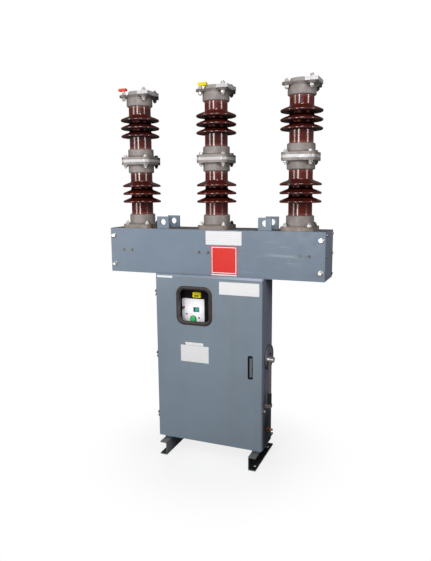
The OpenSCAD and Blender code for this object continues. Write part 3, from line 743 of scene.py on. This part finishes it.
# painted light: the end covers' enamel is lighter than the beam's, for the shaded ends
dress(end_covers, enamel("end_cover_lit_enamel", srgb(152, 163, 181), srgb(144, 155, 173), beam_dust,
                         dust_share=0.95, rub=0.6))
dress(["beam_front_cover"], enamel("cover_enamel", blue_grey, beam_cool, dust_brown, dust_share=0.95, rub=0.6,
                                   stain=(cover_scuffs, srgb(176, 188, 202))))
soften(["beam_channel", "beam_front_cover"] + end_covers, 0.0010)
bolt_white = bare_metal("corner_bolt_zinc", srgb(236, 234, 228), 0.3, metal=0.85,
                        tarnish=srgb(190, 184, 172), tarnish_share=0.3)
screw_dull = bare_metal("screw_dull", srgb(150, 138, 118), 0.45, metal=1.0,
                        tarnish=srgb(96, 74, 52), tarnish_share=0.6)
piece("beam_corner_bolts", corner_bolts, bolt_white, "frame")
piece("beam_pair_screws", pair_screws, screw_dull, "frame")


# Lifting lugs: thick flame-cut steel plates with a drilled eye, welded on top of the beam in two pairs
# and sprayed with it.
dress(["lifting_lugs"], beam_paint)
soften(["lifting_lugs"], 0.0012)


# Pole castings: sand-cast alloy bases, joints and caps, left as cast, with the dull brownish weathering
# of outdoor metal and tan runs on the base flanges; painted shade darkens the rear faces turned to the
# front and right and a band round the cap's ears, and a painted highlight lightens the cap's boss.
poles = {"left": -0.45, "centre": 0.0, "right": 0.45}
castings = [f"{p}_{n}" for p in poles for n in ("base", "joint_castings", "cap")]
ear_middle = 1.955
boss_light_from, boss_light_to = 1.962, 1.967
flange_clean, flange_tan = 1.279, 1.270
rear_from, rear_to = 0.045, 0.060


# painted shade: near black on the rear of each pole, on faces turned to the front and right
def rear_painted_shade(tree, share):
    y = place_parts(tree)[1]
    to_x, to_y, _ = normal_parts(tree)
    faces_front_right = band(tree, math_node(tree, "SUBTRACT", to_x, to_y), 0.1, 0.4)
    return both(tree, faces_front_right, band(tree, y, rear_from, rear_to, 0, share))


def cast_alloy():
    finish, tree, shader = new_finish("cast_alloy")
    z = height_of(tree)
    patch = band(tree, grain(tree, 11, 5), 0.36, 0.66)
    spots = band(tree, grain(tree, 60, 4), 0.55, 0.72, 0, 0.28)
    settled = both(tree, facing_up(tree), band(tree, grain(tree, 25, 4), 0.3, 0.6, 0.3, 0.9))
    # painted shade: darker in a band round the height of the cap's ears
    ear_band_shade = band(tree, away_from(tree, z, ear_middle), 0.009, 0.0065, 0, 0.6)
    # painted highlight: lighter above the ears, on the cap's boss
    boss_top_highlight = band(tree, z, boss_light_from, boss_light_to, 0, 0.6)
    runs = band(tree, grain(tree, 34, 5), 0.36, 0.62, 0.15, 0.75)
    flange_run = both(tree, band(tree, z, flange_clean, flange_tan), runs)
    tone = layered(tree, srgb(159, 150, 146), [
        (patch, srgb(142, 133, 129)), (spots, srgb(118, 106, 97)), (settled, srgb(108, 96, 86)),
        (ear_band_shade, srgb(84, 78, 75)), (boss_top_highlight, srgb(204, 199, 196)), (flange_run, srgb(126, 106, 88)),
        (rear_painted_shade(tree, 0.92), srgb(44, 41, 40))])
    shader.inputs["Metallic"].default_value = 0.15
    dull = band(tree, grain(tree, 50, 4), 0.3, 0.7, 0.42, 0.6)
    surface(tree, shader, tone, dull, grain(tree, 330, 4, rough=0.65), 0.2, 0.0012)
    return finish


dress(castings, cast_alloy())
soften(castings, 0.0016)


# Porcelains: turned and fired insulators under a dark red-brown glaze, mirror smooth, paler where the
# cement joint meets the castings and rough below the sheds; painted shade darkens the undersides of the
# sheds, the faces turned upward and, with a dark metallic finish that stops reflections, the gaps
# between the sheds.
pole_y, pole_pitch = 0.013, 0.45
core_r, bore_r, shed_r = 0.0595, 0.040, 0.1045
rim_r, root_r, throat_r = 0.006, 0.010, 0.004
throat_steps, rim_steps, root_steps, shed_crown = 4, 9, 6, 0.0008
rim_heights = [0.0685 + 0.0425 * k for k in range(3)]
porcelain_tall = 0.224
under_slope, top_slope = math.radians(5), math.radians(22)
cement_heights = (1.328, 1.552, 1.680, 1.904)
lower_from, lower_to, sheds_middle = 1.2575, 1.6095, 1.4375
gap_half_out, gap_half_in = 0.050, 0.044
gap_r_out, gap_r_in = 0.074, 0.063


def brown_glaze():
    finish, tree, shader = new_finish("brown_glaze")
    x, y, z = place_parts(tree)
    up = normal_parts(tree)[2]
    coats = [(band(tree, grain(tree, 7, 4), 0.35, 0.7), srgb(74, 22, 15)),
             (band(tree, grain(tree, 240, 2), 0.62, 0.75, 0, 0.3), srgb(40, 14, 12))]
    for cement_z in cement_heights:
        coats.append((band(tree, away_from(tree, z, cement_z), 0.016, 0.003, 0, 0.6), srgb(138, 84, 74)))
    # painted shade: the undersides of the sheds are painted near black; they are also made rough
    under = band(tree, up, -0.3, -0.8)
    across = math_node(tree, "WRAP", x, pole_pitch / 2, -pole_pitch / 2)
    off_axis = length_of(tree, across, math_node(tree, "SUBTRACT", y, pole_y))
    off_middle = away_from(tree, math_node(tree, "WRAP", z, lower_to, lower_from), sheds_middle)
    in_gap = both(tree, band(tree, off_axis, gap_r_out, gap_r_in),
                  band(tree, off_middle, gap_half_out, gap_half_in))
    # painted shade: the core between the sheds is painted near black and made metallic, so it reflects little
    gap_shade = both(tree, in_gap, 0.9)
    # painted shade: faces turned upward are painted darker
    coats += [(band(tree, up, 0.3, 0.8, 0, 0.35), srgb(56, 20, 14)), (under, srgb(30, 12, 10)),
              (gap_shade, srgb(40, 14, 10))]
    shader.inputs["Specular IOR Level"].default_value = 0.9
    link(tree, gap_shade, shader.inputs["Metallic"])
    glassy = band(tree, grain(tree, 18, 4), 0.3, 0.75, 0.14, 0.20)
    dull = math_node(tree, "MAXIMUM", math_node(tree, "MULTIPLY_ADD", in_gap, 0.16, glassy), under)
    surface(tree, shader, layered(tree, srgb(100, 31, 21), coats), dull, grain(tree, 22, 0), 0.003, 0.002)
    return finish


def porcelain_levels():
    levels = [(bore_r, 0), (core_r, 0)]
    rim_x, root_x = shed_r - rim_r, core_r + root_r
    for rim_z in rim_heights:
        throat_z = rim_z - rim_r + (rim_x - core_r) * math.tan(under_slope) - throat_r
        levels += arc(core_r + throat_r, throat_z, throat_r, math.pi, -math.pi / 2, throat_steps)
        levels += arc(rim_x, rim_z, rim_r, under_slope - math.pi / 2,
                      math.pi - under_slope - top_slope, rim_steps)
        edge_x, edge_z = levels[-1]
        root_z = edge_z + (root_r - math.sin(top_slope) * (root_x - edge_x)) / math.cos(top_slope)
        rise = (edge_x - root_x) / 2 * math.tan(top_slope)
        levels.append(((edge_x + root_x) / 2, edge_z + rise + shed_crown))
        levels += arc(root_x, root_z, root_r, 1.5 * math.pi - top_slope, top_slope - math.pi / 2, root_steps)
    return levels + [(core_r, porcelain_tall), (bore_r, porcelain_tall)]


glaze = brown_glaze()
for pole, pole_x in poles.items():
    for place in ("lower", "upper"):
        node = f"{pole}_{place}_porcelain"
        foot_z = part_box(node)[0][2]

        def insulator(work):
            turned(work, (pole_x, pole_y, foot_z), (0, 0, 1), porcelain_levels(), sides=96, hollow=True)

        glazed = piece(f"{pole}_{place}_insulator", insulator, glaze, "frame")
        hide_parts(node)


# Terminals: tinned bright plates, the lower one clamped between the joint castings, the upper bar
# bolted on two ears of the cap.
terminals = [f"{p}_{n}_terminal" for p in poles for n in ("lower", "upper")]
dress(terminals, bare_metal("tinned_plate", srgb(213, 210, 211), 0.34, metal=0.08,
                            tarnish=srgb(205, 203, 200), tarnish_share=0.35, pits=0.05))
soften(terminals, 0.0012)


# Pole bolts: zinc-plated hexagon bolts through the flanges and the cap's ears, with washers under heads
# and nuts; those on the rear side are painted black as painted shade.
bolt_off = 0.0615
flange_t, joint_ear_t, cap_ear_t = 0.020, 0.013, 0.012
stub_r, base_stub, cap_stub, marker_stub, nut_stub = 0.006, 0.007, 0.006, 0.014, 0.005
pole_bolt = {"across": 0.019, "tall": 0.010, "washer": 0.026, "washer_t": 0.0025}
ear_nut = {**pole_bolt, "tall": 0.011}
base_flange_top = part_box("left_base")[0][2] + flange_t
plate_low, plate_high = (corner[2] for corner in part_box("left_lower_terminal"))
ear_top, bar_top = (corner[2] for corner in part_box("left_upper_terminal"))


def bolt_zinc():
    finish, tree, shader = new_finish("pole_bolt_zinc")
    stained = band(tree, grain(tree, 48, 5), 0.45, 0.72, 0, 0.6)
    tone = layered(tree, srgb(214, 212, 210), [
        (stained, srgb(128, 118, 106)), (rear_painted_shade(tree, 0.9), srgb(44, 40, 38))])
    shader.inputs["Metallic"].default_value = 0.35
    dull = band(tree, grain(tree, 75, 4), 0.3, 0.7, 0.24, 0.42)
    surface(tree, shader, tone, dull, grain(tree, 520, 3), 0.08, 0.0006)
    return finish


bolt_finish = bolt_zinc()
for pole, pole_x in poles.items():
    def pole_bolts(work):
        up, down = (0, 0, 1), (0, 0, -1)
        for sx in (-1, 1):
            for sy in (-1, 1):
                x, y = pole_x + sx * bolt_off, pole_y + sy * bolt_off
                turn = 0.6 * sx + 0.35 * sy + pole_x
                carries_marker = sx < 0 and sy < 0 and pole != "right"
                cap_top = bar_top if sx > 0 else ear_top
                cap_tip = marker_stub if carries_marker else cap_stub
                hex_head(work, (x, y, base_flange_top), up, **pole_bolt,
                         stub_r=stub_r, stub_h=base_stub, turn=turn)
                hex_head(work, (x, y, plate_low - joint_ear_t), down, **pole_bolt,
                         stub_r=stub_r, stub_h=base_stub, turn=turn)
                hex_head(work, (x, y, plate_high + joint_ear_t), up, **pole_bolt, turn=turn + 0.4)
                hex_head(work, (x, y, cap_top), up, **pole_bolt, stub_r=stub_r, stub_h=cap_tip, turn=turn)
                hex_head(work, (x, y, ear_top - cap_ear_t), down, **ear_nut,
                         stub_r=stub_r, stub_h=nut_stub, turn=turn + 0.2)
    piece(f"{pole}_pole_bolts", pole_bolts, bolt_finish, "frame")


# Phase markers: small coloured plastic blocks pushed on the long front left bolt of two caps, red on
# the left pole and yellow on the middle one.
marker_half_w, marker_half_d = 0.024, 0.011
for pole, shift, lift, thick, colour in (
        ("left", -0.004, 0.0215, 0.0145, srgb(240, 60, 32)),
        ("centre", 0.013, 0.0165, 0.017, srgb(250, 230, 12))):
    x, y, z = poles[pole] - bolt_off + shift, pole_y - bolt_off, ear_top + lift
    marker = slab_maker((x - marker_half_w, y - marker_half_d, z),
                        (x + marker_half_w, y + marker_half_d, z + thick), ease=0.003, steps=3)
    plastic = moulded(f"{pole}_marker_plastic", colour, 0.4, mottling=0.04)
    piece(f"{pole}_phase_marker", marker, plastic, "frame")


# Plates on beam and door: thin printed sheet left bare or with plain rules; a red one with a white line
# round it on the beam, white ones above it and on the door.
door_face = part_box("door_panel")[0][1]
pale, ink_grey = srgb(254, 254, 255), srgb(170, 174, 186)


def printed(name, colour, rule_step=0.0):
    finish, tree, shader = new_finish(name)
    tone = blend_colour(tree, band(tree, grain(tree, 30, 4), 0.4, 0.7, 0, 0.35), colour, dimmed(colour, 0.95))
    if rule_step:
        line = math_node(tree, "PINGPONG", height_of(tree), rule_step / 2)
        rules = band(tree, line, rule_step * 0.10, rule_step * 0.02, 0, 0.55)
        tone = blend_colour(tree, rules, tone, ink_grey)
    dull = band(tree, grain(tree, 70, 3), 0.3, 0.7, 0.28, 0.42)
    surface(tree, shader, tone, dull, grain(tree, 300, 2), 0.05, 0.0004)
    return finish


bare_white = printed("plate_white", pale)
ruled_white = printed("plate_ruled", pale, rule_step=0.0095)
red_edge = printed("sign_red_edge", srgb(236, 66, 52))
red = printed("sign_red", srgb(238, 50, 40))
for name, span_x, span_z, front, back, ease, finish in (
        ("beam_white_plate", (-0.0237, 0.1742), (1.1756, 1.2474), 0.0012, 0, 0.0004, ruled_white),
        ("beam_red_border", (0.005, 0.1503), (1.024, 1.170), 0.0010, 0, 0.0004, red_edge),
        ("beam_red_line", (0.0095, 0.1458), (1.0285, 1.1655), 0.0014, 0.0006, 0.0003, bare_white),
        ("beam_red_plate", (0.0135, 0.1418), (1.0325, 1.1615), 0.0018, 0.0010, 0.0003, red),
        ("beam_sign_strip", (0.007, 0.1482), (1.0165, 1.0225), 0.0010, 0, 0.0003, bare_white)):
    piece(name, on_face(beam_face, span_x, span_z, front, back, ease), finish, "frame")
for name, span_x, span_z, front, ease, finish in (
        ("door_name_plate", (0.0676, 0.2843), (0.9248, 0.9914), 0.0012, 0.0004, bare_white),
        ("door_small_plate", (-0.2906, -0.1992), (0.997, 1.0078), 0.0010, 0.0003, bare_white),
        ("door_rating_plate", (-0.1566, 0.0055), (0.5454, 0.6369), 0.0012, 0.0004, ruled_white),
        ("door_rating_strip", (-0.1285, -0.0245), (0.6375, 0.653), 0.0010, 0.0003, bare_white)):
    piece(name, on_face(door_face, span_x, span_z, front, 0, ease), finish, "door")
